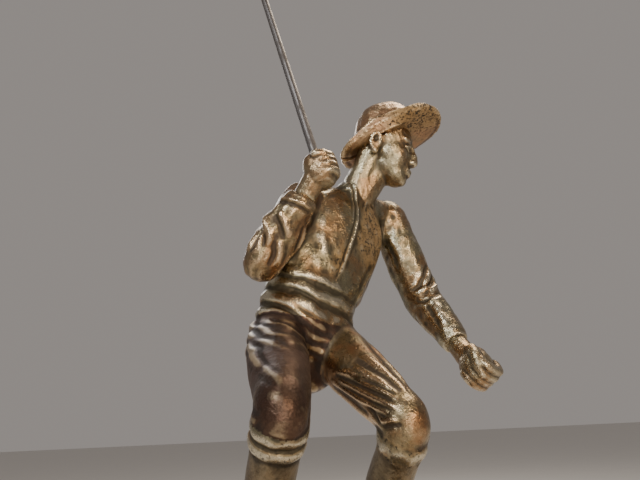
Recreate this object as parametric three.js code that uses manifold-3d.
// Cast-metal angler on a stone plinth: a figure trophy built up from separate castings.
// Millimetres, +Z up. The origin is the centre of the underside, and the man faces -Y.
import * as THREE from 'three';
import { ParametricGeometry } from 'three/addons/geometries/ParametricGeometry.js';
import { mergeVertices } from 'three/addons/utils/BufferGeometryUtils.js';
import Module from 'manifold-3d';

const wasm = await Module();
wasm.setup();

// ---- Driving dimensions -------------------------------------------------------------

const STATURE = 300;            // the man's height, if he stood up straight
const CAST_GAP = 0.3;           // joint left between two castings
const GROUND_THICKNESS = 12;    // bronze ground under the lower sole
const GROUND_MARGIN = 9;        // ground showing around the shoes
const PLINTH_LEDGE = 7;         // stone showing around the ground
const PLINTH_HEIGHT = 46;
const PLINTH_CHAMFER = 1.5;
const PLINTH_CORNER = 3;        // radius of the plinth's upright edges
const FELT_THICKNESS = 2;
const FELT_INSET = 3;

const PIN_DIAMETER = 2.6;       // brass dowels between the castings
const PIN_REACH = 6;            // how far a dowel enters each casting
const PIN_CLEARANCE = 0.3;

const ROD_REACH = 214;          // fishing rod above the fist
const ROD_BUTT_DIAMETER = 4.4;
const ROD_TIP_DIAMETER = 3.0;
const ROD_SOCKET_DEPTH = 14;    // blind hole down through the fist
const ROD_SOCKET_CLEARANCE = 0.3;

const STUD_DIAMETER = 5;        // threaded studs that hold the ground to the plinth
const STUD_GRIP = 7;            // how far a stud screws up into the ground
const STUD_CLEARANCE = 0.4;
const STUD_INSET = 32;            // from each end of the plinth in to a stud
const WASHER_DIAMETER = 12;
const WASHER_THICKNESS = 1.2;
const NUT_ACROSS_FLATS = 8;
const NUT_HEIGHT = 4;
const COUNTERBORE_DIAMETER = 14;
const COUNTERBORE_DEPTH = 12;

const SIZE = STATURE / 300;     // the figure's points below are given for a 300 mm man
const ROUND = 14;               // sides of a limb's section

// ---- Materials ----------------------------------------------------------------------

const metal = (color, roughness) =>
  new THREE.MeshStandardMaterial({ color, roughness, metalness: 0.9 });

const gilt = metal(0xa07c44, 0.38);
const copperGilt = metal(0xa86f3c, 0.36);
const darkBronze = metal(0x5d4c33, 0.42);
const olive = metal(0x77694a, 0.36);
const flesh = metal(0xa9854c, 0.4);
const pinBrass = metal(0xc0a05a, 0.45);
const steel = metal(0x8a8884, 0.4);
const rodSteel = metal(0x6f6a68, 0.45);
const travertine = new THREE.MeshStandardMaterial({ color: 0xb5945f, roughness: 0.55, metalness: 0 });
const felt = new THREE.MeshStandardMaterial({ color: 0x2c3a2e, roughness: 1, metalness: 0 });

// ---- Solid helpers ------------------------------------------------------------------

// A closed three.js geometry as a solid. Collapsed triangles at poles are dropped.
function solidOf(geometry) {
  const bare = geometry.clone();
  bare.deleteAttribute('normal');
  bare.deleteAttribute('uv');
  const merged = mergeVertices(bare, 1e-4);
  const corners = merged.index.array;
  const kept = [];
  for (let i = 0; i < corners.length; i += 3) {
    const [a, b, c] = [corners[i], corners[i + 1], corners[i + 2]];
    if (a !== b && b !== c && c !== a) kept.push(a, b, c);
  }
  const position = merged.attributes.position;
  const vertProperties = new Float32Array(position.array);
  let volume = 0;
  const [p, q, r] = [new THREE.Vector3(), new THREE.Vector3(), new THREE.Vector3()];
  for (let i = 0; i < kept.length; i += 3) {
    p.fromBufferAttribute(position, kept[i]);
    q.fromBufferAttribute(position, kept[i + 1]);
    r.fromBufferAttribute(position, kept[i + 2]);
    volume += p.dot(q.cross(r));
  }
  const triVerts = new Uint32Array(volume < 0 ? kept.reverse() : kept);
  return new wasm.Manifold(new wasm.Mesh({ numProp: 3, vertProperties, triVerts }));
}

function geometryOf(solid) {
  const { vertProperties, triVerts } = solid.getMesh();
  const geometry = new THREE.BufferGeometry();
  geometry.setAttribute('position', new THREE.BufferAttribute(vertProperties, 3));
  geometry.setIndex(new THREE.BufferAttribute(triVerts, 1));
  geometry.computeVertexNormals();
  return geometry;
}

const join = (...solids) => solids.reduce((whole, piece) => whole.add(piece));
const carve = (solid, ...tools) => tools.reduce((rest, tool) => rest.subtract(tool), solid);

// A point of the figure, and a direction.
const at = (x, y, z) => new THREE.Vector3(x, y, z).multiplyScalar(SIZE);
const toward = (x, y, z) => new THREE.Vector3(x, y, z).normalize();
const between = (a, b, share) => a.clone().lerp(b, share);
const beyond = (point, direction, distance) => point.clone().addScaledVector(direction, distance);
const heading = (a, b) => b.clone().sub(a).normalize();

// A rounded body drawn through elliptical sections. path holds the section centres, half
// the [half width, half depth] of each, side the direction of the widths. cap is how far the
// two ends bulge, as a share of their half width, and square above 0 makes sections boxier.
function loft({ path, half, side, cap = [0.9, 0.9], square = 0, rows = 6, sides = ROUND, grow = 0 }) {
  const spine = new THREE.CatmullRomCurve3(path, false, 'centripetal');
  const widths = new THREE.CatmullRomCurve3(half.map(([a, b]) => new THREE.Vector3(a, b, 0)));
  const capRows = 2;
  const allRows = rows + 2 * capRows;
  const power = 1 - square;
  const blunt = (value) => Math.sign(value) * Math.abs(value) ** power;
  const surface = (u, v, target) => {
    const row = v * allRows;
    const t = THREE.MathUtils.clamp((row - capRows) / rows, 0, 1);
    const past = row < capRows ? 1 - row / capRows : Math.max(0, (row - capRows - rows) / capRows);
    const end = row < capRows ? 0 : 1;
    const shrink = past >= 1 ? 0 : Math.cos((past * Math.PI) / 2);
    const tangent = spine.getTangent(t);
    const across = side.clone().addScaledVector(tangent, -side.dot(tangent)).normalize();
    const deep = tangent.clone().cross(across);
    const size = widths.getPoint(t).multiplyScalar(SIZE);
    const bulge = past > 0 ? cap[end] * size.x * Math.sin((past * Math.PI) / 2) + grow * past : 0;
    const angle = 2 * Math.PI * (u === 1 ? 0 : u);
    target.copy(spine.getPoint(t));
    target.addScaledVector(tangent, end === 0 ? -bulge : bulge);
    target.addScaledVector(across, (size.x + grow) * shrink * blunt(Math.cos(angle)));
    target.addScaledVector(deep, (size.y + grow) * shrink * blunt(Math.sin(angle)));
  };
  return solidOf(new ParametricGeometry(surface, sides, allRows));
}

// An ellipsoid with its own axes: forward, left and up radii.
function ellipsoid(centre, forward, up, radii, grow = 0, detail = [16, 10]) {
  const left = up.clone().cross(forward).normalize();
  const trueUp = forward.clone().cross(left).normalize();
  const frame = new THREE.Matrix4().makeBasis(forward, left, trueUp).setPosition(centre);
  const ball = new THREE.SphereGeometry(1, ...detail).rotateX(Math.PI / 2);
  ball.scale(...radii.map((radius) => radius * SIZE + grow));
  return solidOf(ball.applyMatrix4(frame));
}

const turnTo = (direction) =>
  new THREE.Quaternion().setFromUnitVectors(new THREE.Vector3(0, 0, 1), direction);

// Everything on the far side of a plane, as a block to cut away.
function halfSpace(point, normal) {
  const reach = 400 * SIZE;
  const block = new THREE.BoxGeometry(reach, reach, reach).translate(0, 0, reach / 2);
  return solidOf(block.applyQuaternion(turnTo(normal)).translate(...point));
}

// A round bar between two points, with a different radius at each end if asked.
function bar(from, to, radius, endRadius = radius, sides = 10) {
  const length = from.distanceTo(to);
  const geometry = new THREE.CylinderGeometry(endRadius, radius, length, sides).rotateX(Math.PI / 2);
  geometry.translate(0, 0, length / 2).applyQuaternion(turnTo(heading(from, to)));
  return solidOf(geometry.translate(...from));
}

// A dowel centred on a joint face, and the hole it sits in.
const dowel = (joint, direction, reach = PIN_REACH) =>
  bar(beyond(joint, direction, -reach), beyond(joint, direction, reach), PIN_DIAMETER / 2);
const dowelHole = (joint, direction, reach = PIN_REACH) => {
  const depth = reach + PIN_CLEARANCE;
  const radius = PIN_DIAMETER / 2 + PIN_CLEARANCE;
  return bar(beyond(joint, direction, -depth), beyond(joint, direction, depth), radius);
};

// ---- The pose: joint centres, measured from the ground under the lower sole -----------

const rightHip = at(-24.8, 22.6, 112.5);
const leftHip = at(1.2, 41.4, 111.1);
const rightKnee = at(-16.6, -44.6, 79.5);
const leftKnee = at(28, -12.7, 73.4);
const rightAnkle = at(-33, -8, 17);
const leftAnkle = at(8, 24, 12);
const rightShoulder = at(-10, 30.9, 186.4);
const leftShoulder = at(38.4, 67.5, 189.5);
const rightElbow = at(-29, 3.1, 143.4);
const leftElbow = at(53.6, 65.6, 138);
const rightWrist = at(-5, -5, 177.3);
const leftWrist = at(65.5, 39.6, 105.5);
const rightFist = at(-0.6, -6.2, 184.5);
const leftFist = at(71.5, 28, 94.5);
const headCentre = at(36, 46, 219.5);

const RIGHT_SOLE = 5;           // the right foot stands on a stone, this much higher
const ANKLE_HEIGHT = 12;

const hipLine = toward(0.82, 0.57, -0.04);
const shoulderLine = toward(0.79, 0.59, 0.1);
const rodAxis = toward(-0.217, 0.137, 0.966);
const faceForward = toward(0.93, -0.22, -0.28);
const faceUp = toward(0.29, 0, 0.95);
const spineUp = toward(0.17, 0.15, 0.97);

// ---- Trunk --------------------------------------------------------------------------

const sashTop = at(-8.4, 35.5, 136);
const sashBottom = at(-11.8, 33.4, 118);

function shirtBody(grow = 0) {
  const trunk = loft({
    path: [at(-9, 35, 130), at(-5, 38, 142), at(1, 42, 155), at(8, 46, 170), at(13.5, 49, 182), at(17, 49, 194)],
    half: [[24, 16.5], [26.5, 19], [27, 19], [27.5, 18.5], [25, 15.5], [11, 9.5]],
    side: shoulderLine,
    rows: 9,
    sides: 18,
    cap: [0.1, 0.3],
    grow,
  });
  const yoke = loft({
    path: [between(rightShoulder, leftShoulder, 0.1), at(14.5, 49, 187.5), between(rightShoulder, leftShoulder, 0.9)],
    half: [[8.6, 8.6], [11.5, 11.5], [8.6, 8.6]],
    side: toward(0.5, -0.7, 0),
    rows: 5,
    cap: [0.7, 0.7],
    grow,
  });
  const collar = loft({
    path: [at(15, 48.5, 186), at(18, 47.5, 194), at(20.5, 46.5, 198.5)],
    half: [[14, 12.5], [11.4, 11], [10.8, 10.4]],
    side: shoulderLine,
    cap: [0, 0.05],
    rows: 4,
    grow,
  });
  const whole = join(trunk, yoke, collar);
  return carve(whole, halfSpace(beyond(sashTop, spineUp, -grow), spineUp.clone().negate()));
}

function waistSash(grow = 0) {
  const wrap = loft({
    path: [at(-13.5, 32.5, 110), at(-12, 33.4, 118), at(-10.3, 34.5, 127), at(-8.4, 35.5, 136), at(-7, 36.5, 143)],
    half: [[25, 18], [25.6, 18.6], [25, 18], [24.6, 17.6], [24.6, 17.6]],
    side: hipLine,
    cap: [0, 0],
    sides: 18,
    grow,
  });
  return carve(
    wrap,
    halfSpace(beyond(sashTop, spineUp, grow - CAST_GAP), spineUp),
    halfSpace(beyond(sashBottom, spineUp, CAST_GAP - grow), spineUp.clone().negate()),
  );
}

function breechesSeat(grow = 0) {
  const seat = loft({
    path: [at(-9, 36, 93), at(-10.5, 36, 101), at(-12, 34.5, 110), at(-11.5, 33.6, 120), at(-11, 34, 128)],
    half: [[9, 10], [20, 17], [25, 19], [25.4, 18.4], [25, 18]],
    side: hipLine,
    cap: [0.6, 0],
    sides: 18,
    grow,
  });
  return carve(seat, halfSpace(beyond(sashBottom, spineUp, grow), spineUp));
}

// ---- Legs ---------------------------------------------------------------------------

const BAND_RADIUS = 9.9;

const legs = {
  right: {
    hip: rightHip, knee: rightKnee, ankle: rightAnkle, sole: RIGHT_SOLE,
    toe: toward(-0.12, -0.99, 0), bandFrom: 5, bandTo: 13.5, side: toward(1, 0.1, -0.1),
  },
  left: {
    hip: leftHip, knee: leftKnee, ankle: leftAnkle, sole: 0,
    toe: toward(0.62, -0.78, 0), bandFrom: 6, bandTo: 12, side: toward(0.88, 0.45, -0.1),
  },
};
for (const leg of Object.values(legs)) leg.shin = heading(leg.knee, leg.ankle);

function breechesLeg(leg, grow = 0) {
  const { hip, knee, shin, side } = leg;
  const thigh = loft({
    path: [hip, between(hip, knee, 0.35), between(hip, knee, 0.72), knee],
    half: [[13.4, 14], [13.2, 13.4], [11.4, 11.4], [9.4, 9.6]],
    side,
    cap: [0.7, 0.9],
    grow,
  });
  const belowKnee = loft({
    path: [knee, beyond(knee, shin, (leg.bandFrom + 4) * SIZE)],
    half: [[9.4, 9.8], [9.2, 9.6]],
    side,
    rows: 2,
    grow,
  });
  return carve(join(thigh, belowKnee), bandSpace(leg));
}

// The space around the shin below the hem of the breeches, where the band and calf are.
function bandSpace({ knee, shin, bandFrom }) {
  const hem = beyond(knee, shin, bandFrom * SIZE);
  return bar(hem, beyond(hem, shin, 40 * SIZE), BAND_RADIUS * SIZE + CAST_GAP, undefined, 24);
}

function kneeBand(leg) {
  const from = beyond(leg.knee, leg.shin, leg.bandFrom * SIZE + CAST_GAP);
  const to = beyond(leg.knee, leg.shin, leg.bandTo * SIZE);
  return loft({
    path: [from, between(from, to, 0.5), to],
    half: [[9.2, 9.5], [BAND_RADIUS, BAND_RADIUS], [9.2, 9.5]],
    side: leg.side,
    rows: 4,
    cap: [0, 0],
  });
}

function stocking(leg) {
  const { knee, shin, ankle, side, bandTo } = leg;
  const back = side.clone().cross(shin).normalize();
  if (back.y < 0) back.negate();
  const top = beyond(knee, shin, bandTo * SIZE + CAST_GAP);
  const calf = beyond(between(knee, ankle, 0.38), back, 1.2 * SIZE);
  const shank = loft({
    path: [beyond(top, shin, -4 * SIZE), calf, between(knee, ankle, 0.68), ankle, beyond(ankle, shin, 4 * SIZE)],
    half: [[8.4, 8.8], [8.9, 9.5], [7, 7.4], [5.4, 6], [5.2, 5.8]],
    side,
    rows: 8,
    cap: [0, 0.4],
  });
  return carve(shank, halfSpace(top, shin.clone().negate()), shoe(leg, CAST_GAP));
}

function shoe(leg, grow = 0) {
  const { ankle, toe, sole } = leg;
  const floor = at(0, 0, sole).z;
  const station = (along, height) => {
    const point = beyond(ankle, toe, along * SIZE);
    point.z = floor + height * SIZE;
    return point;
  };
  const across = toe.clone().cross(new THREE.Vector3(0, 0, 1));
  const upper = loft({
    path: [station(-7, 5.4), station(0, 6.4), station(11, 5.6), station(21, 4.2), station(28, 3.4)],
    half: [[5.2, 5.6], [6, 6.8], [6.4, 6], [7.6, 4.6], [6.6, 3.8]],
    side: across,
    square: 0.15,
    grow,
  });
  const below = halfSpace(new THREE.Vector3(0, 0, floor - grow), new THREE.Vector3(0, 0, -1));
  return carve(upper, below);
}

// ---- Arms ---------------------------------------------------------------------------

const RIGHT_CUFF = 0.86;        // where the sleeves end, as a share of the forearm
const LEFT_CUFF = 0.92;

function sleeve(shoulder, elbow, wrist, cuffShare, fullness) {
  const side = toward(0.6, -0.8, 0);
  const upper = loft({
    path: [shoulder, between(shoulder, elbow, 0.5), elbow],
    half: [[11, 11], [fullness, fullness], [fullness - 0.6, fullness - 0.6]],
    side,
  });
  const cuff = between(elbow, wrist, cuffShare);
  const lower = loft({
    path: [elbow, between(elbow, wrist, 0.45), between(elbow, wrist, 0.8), beyond(cuff, heading(elbow, wrist), 4)],
    half: [[fullness - 0.6, fullness - 0.6], [9.4, 9.2], [7.8, 7.6], [7.7, 7.5]],
    side,
  });
  const trimmed = carve(lower, halfSpace(cuff, heading(elbow, wrist)));
  return carve(join(upper, trimmed), shirtBody(CAST_GAP));
}

function rightHand() {
  const forearm = heading(rightElbow, rightWrist);
  const start = beyond(between(rightElbow, rightWrist, RIGHT_CUFF), forearm, CAST_GAP);
  const wrist = loft({
    path: [start, rightWrist, beyond(rightFist, rodAxis, -2 * SIZE)],
    half: [[5.6, 5.2], [5.4, 5], [5.8, 5.6]],
    side: toward(0.6, -0.8, 0),
    cap: [0, 0.6],
    rows: 5,
  });
  const fist = loft({
    path: [-6.5, -2, 3, 6.5].map((along) => beyond(rightFist, rodAxis, along * SIZE)),
    half: [[6, 6.4], [7.2, 7.2], [7.2, 7], [6, 6]],
    side: toward(1, -0.4, 0),
    square: 0.2,
    cap: [0.45, 0.4],
  });
  const thumb = loft({
    path: [at(5, -3, 187), at(3.4, -10.5, 190), at(-2.6, -12.4, 190)],
    half: [[2.7, 2.7], [2.5, 2.5], [2.1, 2.1]],
    side: rodAxis,
    sides: 8,
    rows: 3,
  });
  return carve(join(wrist, fist, thumb), rodSocket());
}

function leftHand() {
  const forearm = heading(leftElbow, leftWrist);
  const start = beyond(between(leftElbow, leftWrist, LEFT_CUFF), forearm, CAST_GAP);
  const fist = loft({
    path: [start, leftWrist, between(leftWrist, leftFist, 0.55), leftFist, beyond(leftFist, forearm, 5 * SIZE)],
    half: [[5.4, 5], [5.6, 5], [8.2, 6.6], [9.2, 7.6], [7.8, 6.8]],
    side: toward(0.75, 0.55, -0.4),
    square: 0.15,
    cap: [0, 0.5],
    rows: 7,
  });
  const thumb = loft({
    path: [at(66, 31, 103), at(64.5, 24, 97), at(68, 19.5, 92)],
    half: [[3, 3], [2.8, 2.8], [2.3, 2.3]],
    side: toward(1, 0, 0),
    sides: 8,
    rows: 3,
  });
  return join(fist, thumb);
}

// ---- Rod ----------------------------------------------------------------------------

const rodEntry = beyond(rightFist, rodAxis, 9 * SIZE);      // where the rod enters the fist
const rodBottom = beyond(rodEntry, rodAxis, CAST_GAP - ROD_SOCKET_DEPTH);

function rodSocket() {
  const bottom = beyond(rodEntry, rodAxis, -ROD_SOCKET_DEPTH);
  const mouth = beyond(rodEntry, rodAxis, ROD_SOCKET_DEPTH);
  return bar(bottom, mouth, ROD_BUTT_DIAMETER / 2 + ROD_SOCKET_CLEARANCE, undefined, 20);
}

// Turned on a lathe: straight in the socket, then an even taper to a round tip.
function rod() {
  const butt = ROD_BUTT_DIAMETER / 2;
  const tip = ROD_TIP_DIAMETER / 2;
  const length = rodBottom.distanceTo(rodEntry) + ROD_REACH;
  const outline = new THREE.Path();
  outline.moveTo(0, 0);
  outline.lineTo(butt, 0);
  outline.lineTo(butt, ROD_SOCKET_DEPTH);
  outline.lineTo(tip, length - tip);
  outline.absarc(0, length - tip, tip, 0, Math.PI / 2);
  const turned = new THREE.LatheGeometry(outline.getPoints(4), 16).rotateX(Math.PI / 2);
  return solidOf(turned.applyQuaternion(turnTo(rodAxis)).translate(...rodBottom));
}

// ---- Head and hat -------------------------------------------------------------------

const headPoint = (forward, left, up) => {
  const sideways = faceUp.clone().cross(faceForward).normalize();
  const point = beyond(headCentre, faceForward, forward * SIZE);
  return beyond(beyond(point, sideways, left * SIZE), faceUp, up * SIZE);
};

function head() {
  const blob = (forward, left, up, radii, detail) =>
    ellipsoid(headPoint(forward, left, up), faceForward, faceUp, radii, 0, detail);
  const skull = blob(-2, 0, 4, [17, 13.4, 16]);
  const face = blob(5.5, 0, -4.5, [10.5, 10.6, 14.5]);
  const jaw = blob(8, 0, -13.5, [7, 7.8, 6]);
  const nose = blob(16, 0, -3.2, [3.4, 2.2, 4.4], [8, 6]);
  const ears = [-1, 1].map((side) => blob(-1.5, side * 12.6, -1.5, [3.2, 1.8, 5], [8, 6]));
  const neck = loft({
    path: [at(17, 47.5, 188), at(20, 47, 198), at(26.5, 46.5, 208), at(31, 46, 216)],
    half: [[9, 9], [8.4, 8.6], [8, 8.8], [8.4, 8.8]],
    side: toward(1, -0.2, -0.4),
    cap: [0, 0.5],
  });
  const whole = join(skull, face, jaw, nose, ...ears, neck);
  return carve(whole, hat(CAST_GAP), shirtBody(CAST_GAP));
}

const hatCentre = at(41, 44.5, 227.5);
const hatForward = toward(0.876, 0.02, 0.478);
const hatUp = toward(-0.478, 0.03, 0.876);

// A soft crown over a brim that is turned up in front and pulled down behind.
function hat(grow = 0) {
  const dome = ellipsoid(at(36, 44.8, 226), toward(1, 0, 0.2), toward(-0.2, 0, 1), [19.5, 17.4, 22], grow, [20, 12]);
  const crown = carve(dome, halfSpace(hatCentre, hatUp.clone().negate()));
  const brimRadius = 32;
  const outline = new THREE.SplineCurve([
    new THREE.Vector2(0, -1.2 * SIZE - grow),
    new THREE.Vector2(16 * SIZE, -1.4 * SIZE - grow),
    new THREE.Vector2((brimRadius - 5) * SIZE, -1 * SIZE - grow),
    new THREE.Vector2(brimRadius * SIZE + grow, 1.6 * SIZE),
    new THREE.Vector2((brimRadius - 2.5) * SIZE, 3 * SIZE + grow),
    new THREE.Vector2(20 * SIZE, 1.4 * SIZE + grow),
    new THREE.Vector2(0, 1.2 * SIZE + grow),
  ]);
  const profile = outline.getPoints(9);
  profile[0].x = 0;
  profile[profile.length - 1].x = 0;
  const left = hatUp.clone().cross(hatForward).normalize();
  const frame = new THREE.Matrix4().makeBasis(hatForward, left, hatUp).setPosition(hatCentre);
  const turned = new THREE.LatheGeometry(profile, 28).rotateX(Math.PI / 2).scale(1, 0.9, 1);
  return join(crown, solidOf(turned.applyMatrix4(frame)));
}

// ---- Base ---------------------------------------------------------------------------

// The ground reaches a margin past both shoes, and the plinth a ledge past the ground.
function footprint() {
  const box = new THREE.Box3();
  for (const leg of Object.values(legs)) {
    for (const along of [-12, 34]) {
      const point = beyond(leg.ankle, leg.toe, along * SIZE);
      box.expandByPoint(new THREE.Vector3(point.x - 6 * SIZE, point.y - 3 * SIZE, 0));
      box.expandByPoint(new THREE.Vector3(point.x + 6 * SIZE, point.y + 3 * SIZE, 0));
    }
  }
  return box.expandByVector(new THREE.Vector3(GROUND_MARGIN, GROUND_MARGIN, 0));
}

const feet = footprint();
const groundSize = feet.getSize(new THREE.Vector3());
const groundCentre = feet.getCenter(new THREE.Vector3());
const plinthWidth = groundSize.x + 2 * PLINTH_LEDGE;
const plinthDepth = groundSize.y + 2 * PLINTH_LEDGE;
const groundBase = -GROUND_THICKNESS;
const plinthTop = groundBase - CAST_GAP;
const plinthBase = plinthTop - PLINTH_HEIGHT;

function roundedSlab(width, depth, corner, bottom, top, chamfer) {
  const [x, y] = [width / 2 - chamfer, depth / 2 - chamfer];
  const outline = new THREE.Shape();
  outline.moveTo(x, corner - y);
  outline.lineTo(x, y - corner);
  outline.absarc(x - corner, y - corner, corner, 0, Math.PI / 2);
  outline.absarc(corner - x, y - corner, corner, Math.PI / 2, Math.PI);
  outline.absarc(corner - x, corner - y, corner, Math.PI, 1.5 * Math.PI);
  outline.absarc(x - corner, corner - y, corner, 1.5 * Math.PI, 2 * Math.PI);
  const geometry = new THREE.ExtrudeGeometry(outline, {
    depth: top - bottom - 2 * chamfer,
    curveSegments: 4,
    bevelEnabled: chamfer > 0,
    bevelThickness: chamfer,
    bevelSize: chamfer,
    bevelSegments: 1,
  });
  return solidOf(geometry.translate(groundCentre.x, groundCentre.y, bottom + chamfer));
}

// Uneven ground: a plate with a flat-topped mound under each shoe and stones around them.
function groundPlate() {
  const corner = 26 * SIZE;
  const plate = roundedSlab(groundSize.x, groundSize.y, corner, groundBase, -4.5, 2.5);
  const mound = (leg) => {
    const centre = beyond(leg.ankle, leg.toe, 10 * SIZE);
    const top = at(0, 0, leg.sole).z - CAST_GAP;
    centre.z = groundBase;
    const turned = leg.toe.clone();
    const heap = ellipsoid(centre, turned, new THREE.Vector3(0, 0, 1), [34, 19, 26 + 2 * leg.sole]);
    return carve(heap, halfSpace(new THREE.Vector3(0, 0, top), new THREE.Vector3(0, 0, 1)));
  };
  const stones = [[34, -24, 13], [-2, -34, 9], [-30, 32, 12], [30, 34, 10], [-8, 20, 14]];
  const rocks = stones.map(([x, y, radius]) => {
    const rock = new THREE.IcosahedronGeometry(radius * SIZE, 1).scale(1.2, 1, 0.62);
    rock.rotateZ(x * y);
    return solidOf(rock.translate(groundCentre.x + x * SIZE, groundCentre.y + y * SIZE, groundBase + 3));
  });
  const whole = join(plate, mound(legs.right), mound(legs.left), ...rocks);
  const underside = new THREE.Vector3(0, 0, groundBase);
  const rim = roundedSlab(groundSize.x, groundSize.y, corner, groundBase, 30 * SIZE, 0);
  return carve(whole.intersect(rim), halfSpace(underside, new THREE.Vector3(0, 0, -1)));
}

const studPlaces = [-1, 1].map((side) =>
  groundCentre.clone().add(new THREE.Vector3(side * (plinthWidth / 2 - STUD_INSET), 0, 0)));
const seat = plinthBase + COUNTERBORE_DEPTH;    // face inside the counterbore for the washer

const upright = (place, bottom, top, radius, sides = 16) =>
  bar(new THREE.Vector3(place.x, place.y, bottom), new THREE.Vector3(place.x, place.y, top), radius, radius, sides);

const studHole = (place, extra) =>
  upright(place, plinthBase - 5, groundBase + STUD_GRIP + CAST_GAP, STUD_DIAMETER / 2 + extra);

function plinth() {
  const block = roundedSlab(plinthWidth, plinthDepth, PLINTH_CORNER, plinthBase, plinthTop, PLINTH_CHAMFER);
  const bores = studPlaces.map((place) => studHole(place, STUD_CLEARANCE));
  const counterbores = studPlaces.map((place) =>
    upright(place, plinthBase - 5, seat, COUNTERBORE_DIAMETER / 2, 24));
  return carve(block, ...bores, ...counterbores);
}

const washerTop = seat - CAST_GAP;
const nutTop = washerTop - WASHER_THICKNESS - CAST_GAP;

function stud(place) {
  return upright(place, nutTop - NUT_HEIGHT - 1.5, groundBase + STUD_GRIP, STUD_DIAMETER / 2);
}

function ring(place, top, thickness, radius, sides) {
  const bore = upright(place, top - thickness - 1, top + 1, STUD_DIAMETER / 2 + STUD_CLEARANCE);
  return carve(upright(place, top - thickness, top, radius, sides), bore);
}

const washer = (place) => ring(place, washerTop, WASHER_THICKNESS, WASHER_DIAMETER / 2, 24);
const nut = (place) => ring(place, nutTop, NUT_HEIGHT, NUT_ACROSS_FLATS / Math.sqrt(3), 6);

function feltPad() {
  const [width, depth] = [plinthWidth - 2 * FELT_INSET, plinthDepth - 2 * FELT_INSET];
  const top = plinthBase - CAST_GAP;
  return roundedSlab(width, depth, PLINTH_CORNER, top - FELT_THICKNESS, top, 0);
}

// ---- Joints between castings --------------------------------------------------------

const elbowToWrist = {
  right: heading(rightElbow, rightWrist),
  left: heading(leftElbow, leftWrist),
};
const armholes = {
  right: beyond(rightShoulder, shoulderLine, 0.3),
  left: beyond(leftShoulder, shoulderLine, -0.3),
};
const hipJoint = (leg) => between(leg.hip, leg.knee, 0.15);
const ankleJoint = (leg) => new THREE.Vector3(leg.ankle.x, leg.ankle.y, at(0, 0, leg.sole).z);

const pins = {
  waist_dowel: [sashBottom.clone().lerp(sashTop, 0.5), spineUp, 9 * SIZE + PIN_REACH],
  neck_dowel: [at(19.5, 47, 197), toward(0.25, -0.03, 0.97), 9],
  hat_dowel: [at(36.5, 46, 226), toward(0, 0, 1), 14],
  right_shoulder_dowel: [armholes.right, shoulderLine, 7],
  left_shoulder_dowel: [armholes.left, shoulderLine, 7],
  right_wrist_dowel: [between(rightElbow, rightWrist, RIGHT_CUFF), elbowToWrist.right, 4.5],
  left_wrist_dowel: [between(leftElbow, leftWrist, LEFT_CUFF), elbowToWrist.left, 6],
  right_hip_dowel: [hipJoint(legs.right), heading(rightHip, rightKnee), 13],
  left_hip_dowel: [hipJoint(legs.left), heading(leftHip, leftKnee), 13],
  right_knee_dowel: [beyond(rightKnee, legs.right.shin, 9 * SIZE), legs.right.shin, 10],
  left_knee_dowel: [beyond(leftKnee, legs.left.shin, 9 * SIZE), legs.left.shin, 10],
  right_ankle_dowel: [ankleJoint(legs.right), new THREE.Vector3(0, 0, 1), 9],
  left_ankle_dowel: [ankleJoint(legs.left), new THREE.Vector3(0, 0, 1), 9],
};
const drilled = (solid, ...names) => carve(solid, ...names.map((name) => dowelHole(...pins[name])));

// ---- Assembly -----------------------------------------------------------------------

const trophy = new THREE.Group();
trophy.position.set(-groundCentre.x, -groundCentre.y, FELT_THICKNESS + CAST_GAP - plinthBase);

function add(name, solid, material) {
  const mesh = new THREE.Mesh(geometryOf(solid), material);
  mesh.name = name;
  trophy.add(mesh);
}

add('plinth', plinth(), travertine);
add('felt_pad', feltPad(), felt);
['right', 'left'].forEach((name, index) => {
  const place = studPlaces[index];
  add(`${name}_stud`, stud(place), steel);
  add(`${name}_washer`, washer(place), steel);
  add(`${name}_nut`, nut(place), steel);
});
const ground = carve(groundPlate(), ...studPlaces.map((place) => studHole(place, STUD_CLEARANCE)));
add('ground_plate', drilled(ground, 'right_ankle_dowel', 'left_ankle_dowel'), darkBronze);

for (const [name, leg] of Object.entries(legs)) {
  const pelvis = [breechesSeat(CAST_GAP), waistSash(CAST_GAP)];
  const [hipPin, kneePin, anklePin] = ['hip', 'knee', 'ankle'].map((joint) => `${name}_${joint}_dowel`);
  add(`${name}_shoe`, drilled(shoe(leg), anklePin), darkBronze);
  add(`${name}_stocking`, drilled(stocking(leg), kneePin, anklePin), olive);
  add(`${name}_knee_band`, drilled(kneeBand(leg), kneePin), gilt);
  add(`${name}_breeches_leg`, drilled(carve(breechesLeg(leg), ...pelvis), hipPin, kneePin), darkBronze);
}
add('breeches_seat', drilled(breechesSeat(), 'waist_dowel', 'right_hip_dowel', 'left_hip_dowel'), darkBronze);
add('waist_sash', drilled(waistSash(), 'waist_dowel'), gilt);
add('shirt_body', drilled(shirtBody(), 'waist_dowel', 'neck_dowel', 'right_shoulder_dowel', 'left_shoulder_dowel'), gilt);

const rightSleeve = sleeve(rightShoulder, rightElbow, rightWrist, RIGHT_CUFF, 10);
const leftSleeve = sleeve(leftShoulder, leftElbow, leftWrist, LEFT_CUFF, 11);
add('right_sleeve', drilled(rightSleeve, 'right_shoulder_dowel', 'right_wrist_dowel'), copperGilt);
add('left_sleeve', drilled(leftSleeve, 'left_shoulder_dowel', 'left_wrist_dowel'), gilt);
add('right_hand', drilled(rightHand(), 'right_wrist_dowel'), flesh);
add('left_hand', drilled(leftHand(), 'left_wrist_dowel'), flesh);
add('head', drilled(head(), 'neck_dowel', 'hat_dowel'), flesh);
add('hat', drilled(hat(), 'hat_dowel'), gilt);
for (const [name, place] of Object.entries(pins)) add(name, dowel(...place), pinBrass);
add('rod', rod(), rodSteel);

export default trophy;
